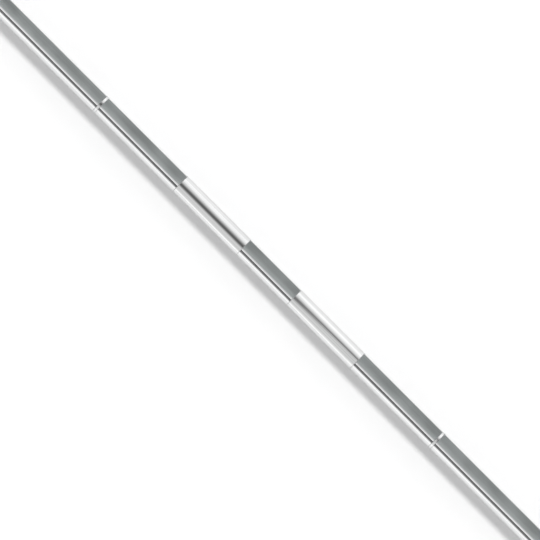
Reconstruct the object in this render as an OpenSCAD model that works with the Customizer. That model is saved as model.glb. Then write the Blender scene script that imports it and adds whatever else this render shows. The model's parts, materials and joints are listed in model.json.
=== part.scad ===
// Continuous (piano) hinge, shown closed: the two leaves hang side by side below the barrel.
// X runs along the pin, Y across the barrel and Z out of the barrel's crown.
// The origin is the centre of the closed hinge's box.
// Seven knuckles share the pin. The frame leaf carries the first, third, fifth and seventh,
// and the door leaf carries the second, fourth and sixth.

/* [Overall] */
// Length of the hinge along the pin
hinge_length = 457.2; // [420:0.1:600]
// Distance from the pin's axis to the free edge of each leaf
leaf_drop = 25.4; // [22:0.1:40]
// Thickness of each leaf
leaf_t = 2.4; // [1.6:0.1:2.6]

/* [Barrel] */
// Outside diameter of the barrel
barrel_d = 12; // [11.6:0.1:14]
// Diameter of the hinge pin
pin_d = 6.35; // [5:0.05:6.5]
// Outside diameter of the bearing liners, and bore of the knuckles that hold them
liner_d = 8.4; // [8:0.1:8.8]
// Radial running clearance between the pin and what turns on it
pin_fit = 0.05; // [0.02:0.01:0.1]
// Axial play at each face where a moving knuckle or ring meets its neighbour
end_play = 0.12; // [0.05:0.01:0.3]

/* [Knuckles] */
// Length of the door leaf's centre knuckle
centre_knuckle_l = 40.4; // [30:0.1:60]
// Length of each round knuckle of the frame leaf
round_knuckle_l = 50.8; // [30:0.1:60]
// Length of each outer knuckle of the door leaf
door_knuckle_l = 62.9; // [30:0.1:80]
// Width of the space that each thrust ring fills
ring_space = 1.7; // [1:0.1:3]

/* [Slotted knuckles] */
// Radius of the crown across the nearly flat top
crown_r = 24; // [20:1:80]
// Radius of the outer corner beside the crown
corner_r = 0.7; // [0.4:0.1:1.5]
// Radius of the rolled lip beside the slot
lip_r = 1.95; // [0.8:0.05:2.1]
// Distance from the middle of the barrel to the lip's edge of the slot
slot_near = 2.4; // [2.2:0.05:2.6]
// Width of the slot that keys the liner
slot_w = 0.8; // [0.6:0.05:1.2]
// Height of the liner's key above the pin's axis
key_top = 4.2; // [3.8:0.05:4.4]

/* [Screw holes] */
// Distance between neighbouring screw holes
hole_pitch = 50.8; // [40:0.1:55]
// Number of screw holes on each side of the middle one
holes_each_side = 4; // [1:1:4]
// Distance from the pin's axis to the row of screw holes
hole_drop = 16.5; // [14:0.1:18]
// Diameter of each screw hole
hole_d = 4.5; // [3.5:0.1:5]
// Diameter of each countersink at the leaf's inner face
sink_d = 7.9; // [5.5:0.1:8]

/* [Small details] */
// Radius of the leaf's free corners
leaf_corner_r = 2; // [0.5:0.1:4]
// Length of each end plug
plug_l = 4; // [2:0.5:8]
// Chamfer of the pin's ends and of the plugs
chamfer = 0.5; // [0.2:0.1:1]

/* [Hidden] */
$fn = 96;
// Overlap that keeps cuts clean, and how far a drill runs past each face
eps = 0.01;
overrun = 1;

barrel_r = barrel_d / 2;
pin_r = pin_d / 2;
liner_r = liner_d / 2;
slot_far = slot_near + slot_w;
// Gap on each side of the liner's key in its slot
key_gap = 0.04;
// Inner face of each leaf, from the middle of the barrel
leaf_in = barrel_r - leaf_t;
// Middle of the crown's arc, of the rolled lip and of the outer corner, across the barrel
crown_y = barrel_r / 2;
lip_y = lip_r - slot_near;
corner_y = barrel_r - corner_r;
// Heights at which the lip's and the corner's arcs run smoothly into the crown
lip_z = crown_touch_z(lip_y, lip_r);
corner_z = crown_touch_z(corner_y, corner_r);
// Farthest that a slotted knuckle reaches from the pin, and the leaf's top edge, which clears it
sweep_gap = 0.35;
sweep_r = norm([corner_y, corner_z]) + corner_r;
neck_drop = sqrt(pow(sweep_r + sweep_gap, 2) - leaf_in * leaf_in);
// Height of the pin's axis above the middle of the box
axis_z = (leaf_drop - barrel_r) / 2;
// Distances along the pin from the middle of the hinge to each joint between knuckles
centre_end = centre_knuckle_l / 2;
round_end = centre_end + round_knuckle_l;
door_end = round_end + door_knuckle_l;
ring_end = door_end + ring_space;
hinge_end = hinge_length / 2;
plug_start = hinge_end - plug_l;
sink_depth = (sink_d - hole_d) / 2;

// Height of the middle of an arc of radius r, at y, that touches the crown from inside
function crown_touch_z(y, r) =
    barrel_r - crown_r + sqrt(pow(crown_r - r, 2) - pow(y - crown_y, 2));

// Where that arc touches the crown, across the barrel
function crown_touch_y(y, r) = y + r * (y - crown_y) / (crown_r - r);

// Extrudes a cross-section, drawn in Y and Z about the pin, from x0 to x1
module along_pin(x0, x1) {
    translate([x0, 0, axis_z])
        rotate([90, 0, 90])
            linear_extrude(x1 - x0) children();
}

// Solid shaft on the pin's axis from x0 to x1, with chamfered ends
module shaft(x0, x1, r, c) {
    translate([x0, 0, axis_z])
        rotate([0, 90, 0])
            rotate_extrude()
                polygon([
                    [0, 0], [r - c, 0], [r, c],
                    [r, x1 - x0 - c], [r - c, x1 - x0], [0, x1 - x0]
                ]);
}

// Strip that joins a knuckle to its leaf. side is 1 for the door leaf and -1 for the frame leaf
module neck_section(side) {
    translate([side > 0 ? leaf_in : -barrel_r, -neck_drop])
        square([leaf_t, neck_drop]);
}

// Disc whose edge is the crown
module crown_section() {
    translate([crown_y, barrel_r - crown_r])
        circle(r = crown_r, $fn = 360);
}

// Shoulder that gives a slotted knuckle its top and its straight wall, before the crown trims it
module shoulder_section() {
    square([crown_touch_y(corner_y, corner_r), barrel_r]);
    square([barrel_r, corner_z]);
    translate([corner_y, corner_z])
        circle(r = corner_r);
}

// What is cut from the barrel outside the rolled lip
module lip_cut_section() {
    difference() {
        translate([-slot_near - eps, lip_z])
            square([crown_touch_y(lip_y, lip_r) + slot_near + eps, barrel_r]);
        translate([lip_y, lip_z])
            circle(r = lip_r);
    }
}

// Slot from the bore out through the barrel
module slot_section() {
    translate([-slot_far, 0])
        square([slot_w, barrel_r]);
}

module slotted_section(side) {
    difference() {
        intersection() {
            union() {
                circle(r = barrel_r);
                shoulder_section();
                neck_section(side);
            }
            crown_section();
        }
        circle(r = liner_r);
        lip_cut_section();
        slot_section();
    }
}

module round_section(side) {
    difference() {
        union() {
            circle(r = barrel_r);
            neck_section(side);
        }
        circle(r = pin_r);
    }
}

// Tube around the pin, with a key that stands in the knuckle's slot
module liner_section() {
    difference() {
        union() {
            circle(r = liner_r);
            translate([key_gap - slot_far, 0])
                square([slot_w - 2 * key_gap, key_top]);
        }
        circle(r = pin_r + pin_fit);
    }
}

module ring_section() {
    difference() {
        circle(r = barrel_r);
        circle(r = pin_r + pin_fit);
    }
}

module slotted_knuckle(x0, x1, side) {
    color([0.55, 0.56, 0.56])
        along_pin(x0, x1) slotted_section(side);
}

module round_knuckle(x0, x1) {
    color([0.88, 0.88, 0.89])
        along_pin(x0, x1) round_section(-1);
}

module liner(x0, x1) {
    color([0.12, 0.12, 0.13])
        along_pin(x0, x1) liner_section();
}

module thrust_ring(x0, x1) {
    color([0.85, 0.85, 0.86])
        along_pin(x0, x1) ring_section();
}

module end_plug(x0, x1) {
    color([0.2, 0.2, 0.21])
        shaft(x0, x1, liner_r, chamfer);
}

module hinge_pin() {
    color([0.6, 0.6, 0.62])
        shaft(-plug_start, plug_start, pin_r, chamfer);
}

// Outline of a leaf in X and Z, with its two free corners rounded
module leaf_outline() {
    low = axis_z - leaf_drop;
    top = axis_z - neck_drop;
    translate([-hinge_end, low + leaf_corner_r])
        square([hinge_length, top - low - leaf_corner_r]);
    translate([-hinge_end + leaf_corner_r, low])
        square([hinge_length - 2 * leaf_corner_r, top - low]);
    for (s = [-1, 1])
        translate([s * (hinge_end - leaf_corner_r), low + leaf_corner_r])
            circle(r = leaf_corner_r);
}

// Screw hole along Y through a leaf that starts at Y = 0, countersunk from Y = leaf_t
module screw_hole() {
    rotate([-90, 0, 0]) {
        translate([0, 0, -overrun])
            cylinder(d = hole_d, h = leaf_t + 2 * overrun);
        translate([0, 0, leaf_t - sink_depth])
            cylinder(d1 = hole_d, d2 = sink_d + 2 * eps, h = sink_depth + eps);
    }
}

// Leaf with its outer face at Y = 0 and its countersunk inner face at Y = leaf_t
module leaf_blank() {
    difference() {
        translate([0, leaf_t, 0])
            rotate([90, 0, 0])
                linear_extrude(leaf_t) leaf_outline();
        for (i = [-holes_each_side:holes_each_side])
            translate([i * hole_pitch, 0, axis_z - hole_drop])
                screw_hole();
    }
}

module frame_leaf_plate() {
    color([0.72, 0.72, 0.74])
        translate([0, -barrel_r, 0]) leaf_blank();
}

module door_leaf_plate() {
    color([0.68, 0.68, 0.70])
        mirror([0, 1, 0])
            translate([0, -barrel_r, 0]) leaf_blank();
}

frame_leaf_plate();
door_leaf_plate();
hinge_pin();
slotted_knuckle(-hinge_end, -ring_end, -1);  // frame_end_knuckle_left
slotted_knuckle(ring_end, hinge_end, -1);  // frame_end_knuckle_right
round_knuckle(-round_end, -centre_end);  // frame_round_knuckle_left
round_knuckle(centre_end, round_end);  // frame_round_knuckle_right
slotted_knuckle(-door_end + end_play, -round_end - end_play, 1);  // door_knuckle_left
slotted_knuckle(-centre_end + end_play, centre_end - end_play, 1);  // door_knuckle_centre
slotted_knuckle(round_end + end_play, door_end - end_play, 1);  // door_knuckle_right
liner(-plug_start, -ring_end);  // frame_liner_left
liner(ring_end, plug_start);  // frame_liner_right
liner(-door_end + end_play, -round_end - end_play);  // door_liner_left
liner(-centre_end + end_play, centre_end - end_play);  // door_liner_centre
liner(round_end + end_play, door_end - end_play);  // door_liner_right
thrust_ring(-ring_end + end_play, -door_end);  // thrust_ring_left
thrust_ring(door_end, ring_end - end_play);  // thrust_ring_right
end_plug(-hinge_end, -plug_start);  // end_plug_left
end_plug(plug_start, hinge_end);  // end_plug_right
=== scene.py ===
import json
import math

import bmesh
import bpy
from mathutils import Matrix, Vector

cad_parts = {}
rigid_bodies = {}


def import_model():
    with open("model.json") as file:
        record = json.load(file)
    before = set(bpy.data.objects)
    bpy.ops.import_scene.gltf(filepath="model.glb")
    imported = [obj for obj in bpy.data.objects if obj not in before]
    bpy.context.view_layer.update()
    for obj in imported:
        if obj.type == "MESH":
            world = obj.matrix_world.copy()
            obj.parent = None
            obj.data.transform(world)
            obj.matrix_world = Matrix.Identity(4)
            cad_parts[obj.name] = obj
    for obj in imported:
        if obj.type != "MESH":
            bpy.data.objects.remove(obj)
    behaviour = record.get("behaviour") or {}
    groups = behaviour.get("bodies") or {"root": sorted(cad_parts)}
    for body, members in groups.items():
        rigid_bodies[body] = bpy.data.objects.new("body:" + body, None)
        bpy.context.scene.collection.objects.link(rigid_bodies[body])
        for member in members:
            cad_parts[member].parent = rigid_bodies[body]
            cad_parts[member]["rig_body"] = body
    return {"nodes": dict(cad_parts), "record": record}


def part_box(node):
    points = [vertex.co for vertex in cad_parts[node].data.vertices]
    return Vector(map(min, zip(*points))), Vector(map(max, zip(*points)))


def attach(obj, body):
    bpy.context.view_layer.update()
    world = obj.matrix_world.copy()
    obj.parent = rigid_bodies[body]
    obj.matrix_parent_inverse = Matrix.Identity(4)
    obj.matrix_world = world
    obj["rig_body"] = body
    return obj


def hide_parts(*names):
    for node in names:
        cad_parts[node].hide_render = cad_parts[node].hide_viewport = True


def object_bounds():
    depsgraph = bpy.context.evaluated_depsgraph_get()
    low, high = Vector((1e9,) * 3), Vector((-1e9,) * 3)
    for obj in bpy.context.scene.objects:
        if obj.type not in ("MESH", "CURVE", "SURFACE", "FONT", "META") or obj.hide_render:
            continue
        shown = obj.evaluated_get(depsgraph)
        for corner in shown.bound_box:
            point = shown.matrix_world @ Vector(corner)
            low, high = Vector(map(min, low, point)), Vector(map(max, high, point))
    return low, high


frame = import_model()
cad_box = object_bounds()

# ---------------------------------------------------------------- sizes, metres
MM = 0.001
nodes = frame["nodes"]
slot_of = {s["node"]: s["material_slot"] for s in frame["record"]["subparts"]}
pin_low, pin_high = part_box("hinge_pin")
AXIS_Z = (pin_low.z + pin_high.z) / 2
FLOOR_Z = cad_box[0].z

# The same, in millimetres
BARREL_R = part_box("thrust_ring_left")[1].y / MM
PIN_R = (pin_high.z - pin_low.z) / 2 / MM
LINER_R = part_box("end_plug_left")[1].y / MM
LEAF_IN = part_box("door_leaf_plate")[0].y / MM                     # to a leaf's inner face
NECK_DROP = (AXIS_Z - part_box("door_leaf_plate")[1].z) / MM        # down to the leaf's upper edge
PIN_FIT = 0.05          # radial clearance of the liners and rings on the pin

# Cross-section of the slotted knuckles, in millimetres about the pin, as in part.scad
CROWN_R = 24.0
CORNER_R = 0.7          # outer shoulder
LIP_R = 1.95            # rolled lip beside the slot
SLOT_NEAR = 2.4         # the slot's sides, this far from the pin's axis
SLOT_FAR = 3.2
KEY_GAP = 0.04          # between the slot's sides and the liner's key
KEY_TOP = 4.2
ARC_STEP = 2.5          # degrees

# ---------------------------------------------------------------- camera
# It looks straight down on the barrel, turned so that the hinge runs from corner to corner.
# VIEW_WIDTH is the picture's width at the pin, and CENTRE the point in its middle.
VIEW_WIDTH = 0.3065
VIEW_TURN = math.radians(45)
LENS = 500.0
SENSOR = 36.0
CLIP = (0.1, 100)
CENTRE = Vector((-0.00045, 0.00141, AXIS_Z))


def make_camera():
    data = bpy.data.cameras.new("camera")
    data.lens = LENS
    data.sensor_width = SENSOR
    camera = bpy.data.objects.new("camera", data)
    bpy.context.scene.collection.objects.link(camera)
    distance = VIEW_WIDTH * LENS / SENSOR
    camera.location = CENTRE + Vector((0, 0, distance))
    camera.rotation_euler = (0, 0, VIEW_TURN)
    data.clip_start, data.clip_end = CLIP
    bpy.context.scene.camera = camera


# ---------------------------------------------------------------- node helpers
def add(tree, kind, **settings):
    made = tree.nodes.new(kind)
    for key, value in settings.items():
        setattr(made, key, value)
    return made


def maths(tree, operation, a, b=None, clamp=False):
    made = add(tree, "ShaderNodeMath", operation=operation, use_clamp=clamp)
    for socket, value in zip(made.inputs, (a, b)):
        if isinstance(value, bpy.types.NodeSocket):
            tree.links.new(value, socket)
        elif value is not None:
            socket.default_value = value
    return made.outputs[0]


def remap(tree, value, from_range, to_range, smooth=False):
    """Carries a value from one range to another, without leaving the second one."""
    made = add(tree, "ShaderNodeMapRange", interpolation_type="SMOOTHSTEP" if smooth else "LINEAR")
    tree.links.new(value, made.inputs["Value"])
    made.inputs["From Min"].default_value, made.inputs["From Max"].default_value = from_range
    made.inputs["To Min"].default_value, made.inputs["To Max"].default_value = to_range
    return made.outputs[0]


def noise(tree, coords, scale, detail=3.0, stretch=(1, 1, 1)):
    mapping = add(tree, "ShaderNodeMapping")
    tree.links.new(coords, mapping.inputs["Vector"])
    mapping.inputs["Scale"].default_value = stretch
    made = add(tree, "ShaderNodeTexNoise")
    tree.links.new(mapping.outputs[0], made.inputs["Vector"])
    made.inputs["Scale"].default_value = scale
    made.inputs["Detail"].default_value = detail
    return made.outputs["Fac"]


# ---------------------------------------------------------------- materials
EDGE_TINT = (0.8, 0.8, 0.8)
NOISE_RANGE = (0.3, 0.7)        # most of a noise lies between these
CLOUD_RANGE = (0.35, 0.65)

# Noise scales, per metre, and how lines along X stretch them
LINES, MARKS, STREAKS, CLOUDS = 9000, 1500, 900, 60
LINE_STRETCH = (0.004, 1, 1)
STREAK_STRETCH = (0.02, 1, 1)
METAL_TINT = 0.045              # share by which grain lightens or darkens the steel
METAL_CLOUD = 0.25              # share of that tint which follows the slow smudges
METAL_RELIEF = 0.002            # millimetres

MOULD_GRAIN, MOULD_CLOUDS = 6000, 300
MOULD_TINT = 0.15
MOULD_SMUDGE = 0.08
MOULD_BUMP = 0.4
MOULD_RELIEF = 0.01             # millimetres


def principled(name):
    """A new material, with its node tree, its shader and the object's coordinates."""
    material = bpy.data.materials.new(name)
    material.use_nodes = True
    tree = material.node_tree
    coords = add(tree, "ShaderNodeTexCoord").outputs["Object"]
    return material, tree, tree.nodes["Principled BSDF"], coords


def tint(tree, shader, factor, colour, share):
    """Base colour between a darker and a lighter shade of one colour."""
    mix = add(tree, "ShaderNodeMix", data_type="RGBA")
    mix.inputs["A"].default_value = (*[c * (1 - share) for c in colour], 1)
    mix.inputs["B"].default_value = (*[min(1, c * (1 + share)) for c in colour], 1)
    tree.links.new(factor, mix.inputs["Factor"])
    tree.links.new(mix.outputs["Result"], shader.inputs["Base Color"])


def relief(tree, shader, height, strength, distance):
    bump = add(tree, "ShaderNodeBump")
    bump.inputs["Strength"].default_value = strength
    bump.inputs["Distance"].default_value = distance * MM
    tree.links.new(height, bump.inputs["Height"])
    tree.links.new(bump.outputs[0], shader.inputs["Normal"])


def metal(name, colour, roughness, grain, grain_bump, smudge=0.03, streak=0.02):
    """Steel with fine lines along X, broader streaks, slow smudges and a few deeper draw marks."""
    material, tree, shader, coords = principled(name)
    lines = noise(tree, coords, LINES, 2.0, LINE_STRETCH)
    marks = noise(tree, coords, MARKS, 2.0, LINE_STRETCH)
    streaks = noise(tree, coords, STREAKS, 2.0, STREAK_STRETCH)
    cloud = noise(tree, coords, CLOUDS, 4.0)

    grained = remap(tree, lines, NOISE_RANGE, (roughness - grain, roughness + grain))
    smudged = remap(tree, cloud, CLOUD_RANGE, (-smudge, smudge))
    tree.links.new(maths(tree, "ADD", grained, smudged), shader.inputs["Roughness"])

    reach = streak / METAL_TINT
    drawn = maths(tree, "ADD", remap(tree, marks, NOISE_RANGE, (0, 1)),
                  remap(tree, streaks, CLOUD_RANGE, (-reach, reach)))
    clouds = remap(tree, cloud, CLOUD_RANGE, (-METAL_CLOUD, METAL_CLOUD))
    tint(tree, shader, maths(tree, "ADD", drawn, clouds, clamp=True), colour, METAL_TINT)

    relief(tree, shader, maths(tree, "ADD", lines, marks), grain_bump, METAL_RELIEF)
    shader.inputs["Metallic"].default_value = 1.0
    shader.inputs["Specular Tint"].default_value = (*EDGE_TINT, 1)
    return material


def plastic(name, colour, roughness):
    """Moulded acetal with a fine matt texture."""
    material, tree, shader, coords = principled(name)
    grain = noise(tree, coords, MOULD_GRAIN)
    cloud = noise(tree, coords, MOULD_CLOUDS)
    smudged = remap(tree, cloud, NOISE_RANGE, (roughness - MOULD_SMUDGE, roughness + MOULD_SMUDGE))
    tree.links.new(smudged, shader.inputs["Roughness"])
    tint(tree, shader, cloud, colour, MOULD_TINT)
    relief(tree, shader, grain, MOULD_BUMP, MOULD_RELIEF)
    return material


SATIN = metal("satin_knuckle_steel", (0.69, 0.734, 0.731), 0.37, 0.05, 0.25)
POLISHED = metal("polished_knuckle_steel", (0.73, 0.735, 0.735), 0.10, 0.02, 0.10, smudge=0.01)
LEAF = metal("leaf_strip_steel", (0.52, 0.525, 0.53), 0.38, 0.07, 0.40, streak=0.04)
WELD = metal("weld_steel", (0.40, 0.385, 0.37), 0.30, 0.05, 0.10)
PIN = metal("pin_wire_steel", (0.60, 0.60, 0.60), 0.25, 0.04, 0.20)
LINER = plastic("liner_acetal", (0.20, 0.20, 0.203), 0.45)
PLUG = plastic("plug_acetal", (0.035, 0.035, 0.037), 0.5)

LOOKS = {
    "satin_knuckle": SATIN,
    "polished_knuckle": POLISHED,
    "polished_ring": POLISHED,
    "leaf_steel": LEAF,
    "pin_steel": PIN,
    "liner_acetal": LINER,
    "plug_acetal": PLUG,
}


# ---------------------------------------------------------------- cross-sections
# Every outline is a list of (y, z) points in millimetres about the pin, counter-clockwise.
def arc(y, z, radius, start, end):
    """Points along an arc, from one angle to the other in degrees, anticlockwise from +Y."""
    steps = max(2, round(abs(end - start) / ARC_STEP))
    angles = [math.radians(start + (end - start) * i / steps) for i in range(steps + 1)]
    return [(y + radius * math.cos(a), z + radius * math.sin(a)) for a in angles]


def angle_at(radius, y):
    """Angle of the upper point of a circle about the pin that lies at y."""
    return math.degrees(math.acos(y / radius))


def crown_touch(y, radius):
    """Height of an arc that touches the crown from inside, and the angle at which it does."""
    reach = CROWN_R - radius
    rise = math.sqrt(reach ** 2 - (y - BARREL_R / 2) ** 2)
    return BARREL_R - CROWN_R + rise, math.degrees(math.atan2(rise, y - BARREL_R / 2))


def neck(side):
    """The neck's corners, down one side and up the other."""
    near, far = (LEAF_IN, BARREL_R) if side > 0 else (-BARREL_R, -LEAF_IN)
    return [(near, -NECK_DROP), (far, -NECK_DROP)]


def slotted_outline(side):
    lip_y, corner_y = LIP_R - SLOT_NEAR, BARREL_R - CORNER_R
    lip_z, lip_angle = crown_touch(lip_y, LIP_R)
    corner_z, corner_angle = crown_touch(corner_y, CORNER_R)
    neck_angle = angle_at(BARREL_R, LEAF_IN)
    top = arc(corner_y, corner_z, CORNER_R, 0, corner_angle)
    top += arc(BARREL_R / 2, BARREL_R - CROWN_R, CROWN_R, corner_angle, lip_angle)[1:-1]
    top += arc(lip_y, lip_z, LIP_R, lip_angle, 180)
    bore = arc(0, 0, LINER_R, angle_at(LINER_R, -SLOT_NEAR), angle_at(LINER_R, -SLOT_FAR) - 360)
    rim_angle = angle_at(BARREL_R, -SLOT_FAR)
    if side > 0:
        return top + bore + arc(0, 0, BARREL_R, rim_angle, 360 - neck_angle) + neck(side)
    rim = arc(0, 0, BARREL_R, rim_angle, 180)
    return top + bore + rim + neck(side) + arc(0, 0, BARREL_R, 180 + neck_angle, 360)


def crown_steps():
    """Which steps of the slotted outline run along the crown."""
    corner_angle = crown_touch(BARREL_R - CORNER_R, CORNER_R)[1]
    lip_angle = crown_touch(LIP_R - SLOT_NEAR, LIP_R)[1]
    first = len(arc(0, 0, CORNER_R, 0, corner_angle)) - 1
    return range(first, first + len(arc(0, 0, CROWN_R, corner_angle, lip_angle)) - 1)


def circle(radius):
    return arc(0, 0, radius, 0, 360)[:-1]


def round_outline():
    neck_angle = angle_at(BARREL_R, LEAF_IN)
    return arc(0, 0, BARREL_R, neck_angle - 180, 180) + neck(-1)


def liner_outline():
    near, far = -SLOT_NEAR - KEY_GAP, -SLOT_FAR + KEY_GAP
    ring = arc(0, 0, LINER_R, angle_at(LINER_R, far) - 360, angle_at(LINER_R, near))
    return ring + [(near, KEY_TOP), (far, KEY_TOP)]


# ---------------------------------------------------------------- turned and drawn pieces
# Rounding of each material's sharp edges, in millimetres. The pin's are hidden and stay sharp.
EDGE = {
    "satin_knuckle": 0.12, "polished_knuckle": 0.15, "polished_ring": 0.12, "leaf_steel": 0.2,
    "liner_acetal": 0.06, "plug_acetal": 0.1,
}


def bevelled(piece, width, sharp):
    """Rounds every edge of a piece that is sharper than this many degrees."""
    bevel = piece.modifiers.new("eased_edges", "BEVEL")
    bevel.width = width * MM
    bevel.segments = 3
    bevel.limit_method = "ANGLE"
    bevel.angle_limit = math.radians(sharp)
    return bevel


def weighted(piece, width):
    """Rounds a made piece's sharp edges and keeps its broad faces shading true."""
    bevelled(piece, width, 30)
    normals = piece.modifiers.new("true_shading", "WEIGHTED_NORMAL")
    normals.mode = "FACE_AREA_WITH_ANGLE"
    normals.weight = 50


def ease_edges(node, width):
    """Rounds a CAD node's sharp edges, without touching its mesh."""
    weld = node.modifiers.new("weld", "WELD")
    weld.merge_threshold = 0.001 * MM
    bevelled(node, width, 35).harden_normals = True


def finished(name, mesh):
    """Turns a closed bmesh into a smooth object."""
    bmesh.ops.recalc_face_normals(mesh, faces=mesh.faces)
    for face in mesh.faces:
        face.smooth = True
    data = bpy.data.meshes.new(name)
    mesh.to_mesh(data)
    mesh.free()
    piece = bpy.data.objects.new(name, data)
    bpy.context.scene.collection.objects.link(piece)
    return piece


def drawn_bar(name, loops, x_low, x_high, edge, satin=range(0)):
    """A bar along the pin, with its outline as the first loop and its bore as the second, if any.
    satin lists the steps of the outline that take the piece's second material."""
    mesh = bmesh.new()
    ends = ([], [])
    for loop in loops:
        rows = [[mesh.verts.new((x, y * MM, AXIS_Z + z * MM)) for y, z in loop]
                for x in (x_low, x_high)]
        for i in range(len(loop)):
            j = (i + 1) % len(loop)
            wall = mesh.faces.new((rows[0][i], rows[1][i], rows[1][j], rows[0][j]))
            wall.material_index = int(loop is loops[0] and i in satin)
            for end, row in zip(ends, rows):
                end.append(mesh.edges.get((row[i], row[j])))
        if len(loops) == 1:
            for row in rows:
                mesh.faces.new(row)
    if len(loops) > 1:
        for end in ends:
            bmesh.ops.triangle_fill(mesh, edges=end, use_beauty=True)
    piece = finished(name, mesh)
    weighted(piece, edge)
    return piece


def loops_of(node):
    """The cross-section of a node that is drawn along the pin, or None."""
    if "liner" in node:
        return [liner_outline(), circle(PIN_R + PIN_FIT)]
    if "thrust_ring" in node:
        return [circle(BARREL_R), circle(PIN_R + PIN_FIT)]
    if "round_knuckle" in node:
        return [round_outline(), circle(PIN_R)]
    if "knuckle" in node:
        return [slotted_outline(1 if node.startswith("door") else -1)]
    return None


def make_barrel():
    """Remakes every knuckle, liner and ring. A satin knuckle is satin on its crown only."""
    for name in nodes:
        loops = loops_of(name)
        if loops:
            box_low, box_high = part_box(name)
            edge = EDGE[slot_of[name]]
            satin = crown_steps() if slot_of[name] == "satin_knuckle" else range(0)
            piece = drawn_bar(name + "_finished", loops, box_low.x, box_high.x, edge, satin)
            if satin:
                piece.data.materials.append(POLISHED)
            piece.data.materials.append(LOOKS[slot_of[name]])
            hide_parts(name)
            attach(piece, nodes[name]["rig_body"])


# A plug's face: a shallow dish with a gate mark in its middle, as (depth, radius) in millimetres
PLUG_FACE = [
    (0.25, 0), (0.25, 0.5), (0.4, 0.6), (0.4, 2.7), (0, 3.1), (0, LINER_R - 0.4), (0.4, LINER_R),
]


def turned(name, profile, x_face, inward):
    """A solid turned about the pin from (depth, radius) points that start and end on the axis."""
    mesh = bmesh.new()
    turns = circle(1)
    rings = []
    for depth, radius in profile:
        x = x_face + inward * depth * MM
        if radius:
            rings.append([mesh.verts.new((x, y * radius * MM, AXIS_Z + z * radius * MM))
                          for y, z in turns])
        else:
            rings.append([mesh.verts.new((x, 0, AXIS_Z))] * len(turns))
    for ring, after in zip(rings, rings[1:]):
        for i in range(len(turns)):
            j = (i + 1) % len(turns)
            # Beside the axis two corners are one point, so the face is a triangle.
            mesh.faces.new(list(dict.fromkeys((ring[i], ring[j], after[j], after[i]))))
    return finished(name, mesh)


def make_plugs():
    for name in ("end_plug_left", "end_plug_right"):
        box_low, box_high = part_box(name)
        length = (box_high.x - box_low.x) / MM
        profile = PLUG_FACE + [(length, LINER_R), (length, 0)]
        x_face, inward = (box_low.x, 1) if box_low.x < 0 else (box_high.x, -1)
        plug = turned(name + "_finished", profile, x_face, inward)
        weighted(plug, EDGE["plug_acetal"])
        plug.data.materials.append(PLUG)
        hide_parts(name)
        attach(plug, nodes[name]["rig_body"])


# Weld along the inside of each neck's seam with its leaf, in millimetres
WELD_WIDTH = 0.55       # to each side of the seam
WELD_HEIGHT = 0.3
WELD_PITCH = 1.1        # from ripple to ripple
WELD_LEAD = 0.35        # how far a ripple's middle runs ahead of its edges
WELD_INSET = 2.0        # from the knuckle's ends
WELD_STEPS = 5          # rows per ripple
WELD_POINTS = 7         # points per row
# Shares of the full size
WELD_TIP = 0.3
WELD_HOLLOW = 0.82      # between two ripples


def weld_row(mesh, x, size, side):
    """One row of points across a weld, at this share of its full size."""
    row = []
    for k in range(WELD_POINTS):
        across = math.cos(math.pi * k / (WELD_POINTS - 1))
        rise = math.sqrt(max(0, 1 - across ** 2))
        y = side * (LEAF_IN - WELD_HEIGHT * size * rise) * MM
        z = AXIS_Z + (WELD_WIDTH * size * across - NECK_DROP) * MM
        row.append(mesh.verts.new((x + WELD_LEAD * rise * MM, y, z)))
    return row


def make_welds():
    for name in nodes:
        if "knuckle" in name:
            box_low, box_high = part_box(name)
            start, end = box_low.x + WELD_INSET * MM, box_high.x - WELD_INSET * MM
            steps = round((end - start) / MM / WELD_PITCH) * WELD_STEPS
            side = 1 if name.startswith("door") else -1
            mesh = bmesh.new()
            rows = []
            for i in range(steps + 1):
                taper = min(1, WELD_TIP + i / WELD_STEPS, WELD_TIP + (steps - i) / WELD_STEPS)
                ripple = abs(math.sin(math.pi * i / WELD_STEPS))
                size = taper * (WELD_HOLLOW + (1 - WELD_HOLLOW) * ripple)
                rows.append(weld_row(mesh, start + (end - start) * i / steps, size, side))
            for row, after in zip(rows, rows[1:]):
                for k in range(WELD_POINTS):
                    j = (k + 1) % WELD_POINTS
                    mesh.faces.new((row[k], row[j], after[j], after[k]))
            mesh.faces.new(rows[0])
            mesh.faces.new(rows[-1])
            weld = finished(name + "_weld", mesh)
            weld.data.materials.append(WELD)
            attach(weld, nodes[name]["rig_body"])


def dress_nodes():
    """Gives the CAD's nodes their materials, and eases the edges of the leaf plates."""
    for name, node in nodes.items():
        if slot_of[name] == "leaf_steel":
            ease_edges(node, EDGE["leaf_steel"])
        for slot in node.material_slots:
            slot.material = LOOKS[slot_of[name]]


# ---------------------------------------------------------------- studio
FLOOR_SIDE = 60.0
FLOOR_GREY = 0.91


def make_floor():
    bpy.ops.mesh.primitive_plane_add(size=FLOOR_SIDE, location=(0, 0, FLOOR_Z))
    floor = bpy.context.object
    floor.name = "studio_floor"
    material = bpy.data.materials.new("studio_floor_paper")
    material.use_nodes = True
    shader = material.node_tree.nodes["Principled BSDF"]
    shader.inputs["Base Color"].default_value = (FLOOR_GREY, FLOOR_GREY, FLOOR_GREY, 1)
    shader.inputs["Roughness"].default_value = 1.0
    shader.inputs["Specular IOR Level"].default_value = 0.0
    floor.data.materials.append(material)


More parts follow.
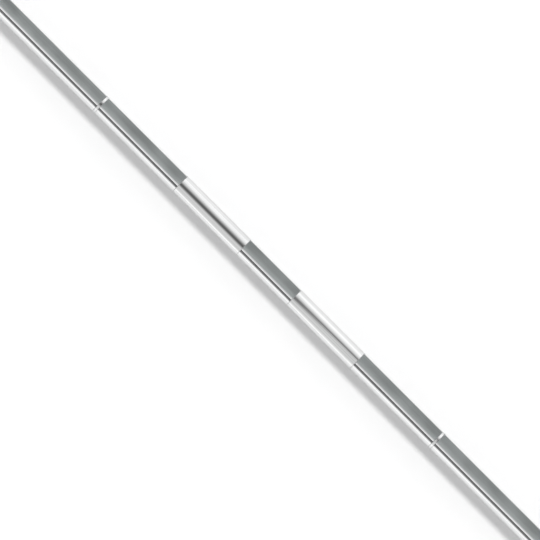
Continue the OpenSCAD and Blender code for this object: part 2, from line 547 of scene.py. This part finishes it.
# Brightness of the studio's walls and ceiling, by the angle from straight up, in degrees.
# Positive angles are on the door leaf's side.
STUDIO = [
    (-180, 0.80), (-110, 1.05), (-95, 1.72), (-88, 1.62), (-78, 1.20), (-66, 0.90), (-52, 0.78),
    (-38, 0.86), (-28, 0.79), (-18, 0.49), (-12, 0.30), (-6, 0.16), (0, 0.11), (6, 0.14),
    (16, 0.30), (26, 0.60), (37, 0.89), (49, 1.09), (61, 1.3), (75, 1.34), (88, 1.2), (105, 1.0),
    (180, 0.80),
]
STUDIO_PEAK = 1.8
# Towards the hinge's ends the studio is even: its share of the peak, and the part of a direction
# that lies along X from which it starts and is complete
ENDS_SHARE = 0.66
ENDS_FROM = (0.5, 0.9)


def make_studio():
    world = bpy.data.worlds.new("studio")
    bpy.context.scene.world = world
    world.use_nodes = True
    tree = world.node_tree
    background = tree.nodes["Background"]
    direction = add(tree, "ShaderNodeSeparateXYZ")
    tree.links.new(add(tree, "ShaderNodeTexCoord").outputs["Generated"], direction.inputs[0])
    x, y, z = direction.outputs
    angle = maths(tree, "ARCTAN2", y, z)
    place = remap(tree, angle, (-math.pi, math.pi), (0, 1))
    ramp = add(tree, "ShaderNodeValToRGB")
    tree.links.new(place, ramp.inputs[0])
    stops = ramp.color_ramp.elements
    for i, (degrees, value) in enumerate(STUDIO):
        position = (degrees + 180) / 360
        stop = stops[i] if i < 2 else stops.new(position)
        stop.position = position
        grey = value / STUDIO_PEAK
        stop.color = (grey, grey, grey, 1)
    ends = remap(tree, maths(tree, "ABSOLUTE", x), ENDS_FROM, (0, 1), smooth=True)
    mix = add(tree, "ShaderNodeMix", data_type="RGBA")
    tree.links.new(ends, mix.inputs["Factor"])
    tree.links.new(ramp.outputs[0], mix.inputs["A"])
    mix.inputs["B"].default_value = (ENDS_SHARE, ENDS_SHARE, ENDS_SHARE, 1)
    tree.links.new(mix.outputs["Result"], background.inputs["Color"])
    background.inputs["Strength"].default_value = STUDIO_PEAK


# Soft sun from the door leaf's side, which casts the shadow and isn't mirrored
KEY_ELEVATION = math.radians(77.4)
KEY_ENERGY = 1.55
KEY_ANGLE = math.radians(8)


def make_key():
    data = bpy.data.lights.new("key_light", "SUN")
    data.energy = KEY_ENERGY
    data.angle = KEY_ANGLE
    key = bpy.data.objects.new("key_light", data)
    bpy.context.scene.collection.objects.link(key)
    towards = Vector((0, math.cos(KEY_ELEVATION), math.sin(KEY_ELEVATION)))
    key.rotation_euler = towards.to_track_quat("Z", "Y").to_euler()
    key.visible_glossy = False


# Strip of soft lamps above the hinge's right half, which only two bright pieces mirror
STRIP_MIRRORS = ("frame_round_knuckle_right_finished", "thrust_ring_right_finished")
STRIP_HEIGHT = 0.6      # metres above the pin
STRIP_START = 0.017
STRIP_STEP = 0.012      # a lamp's length along the pin
STRIP_LAMPS = 12
STRIP_FADE = 3.6        # lamps until the strip has its full brightness
STRIP_Y = (-0.22, 0.08)
STRIP_PEAK = 0.175      # a lamp's full brightness


def make_strip(pieces):
    lit = bpy.data.collections.new("mirrors_the_strip")
    for piece in pieces:
        lit.objects.link(piece)
    for i in range(STRIP_LAMPS):
        data = bpy.data.lights.new("strip_lamp", "AREA")
        data.shape = "RECTANGLE"
        data.size, data.size_y = STRIP_STEP, STRIP_Y[1] - STRIP_Y[0]
        brightness = STRIP_PEAK * min(1, (i + 0.5) / STRIP_FADE)
        data.energy = brightness * math.pi * data.size * data.size_y * math.pi
        lamp = bpy.data.objects.new("strip_lamp", data)
        bpy.context.scene.collection.objects.link(lamp)
        x = STRIP_START + STRIP_STEP * (i + 0.5)
        lamp.location = (x, sum(STRIP_Y) / 2, AXIS_Z + STRIP_HEIGHT)
        lamp.visible_camera = False
        lamp.visible_diffuse = False
        lamp.light_linking.receiver_collection = lit


bpy.context.scene.view_settings.view_transform = "Standard"

make_camera()
dress_nodes()
make_barrel()
make_plugs()
make_welds()
make_floor()
make_studio()
make_key()
make_strip([o for o in bpy.data.objects if o.name in STRIP_MIRRORS])
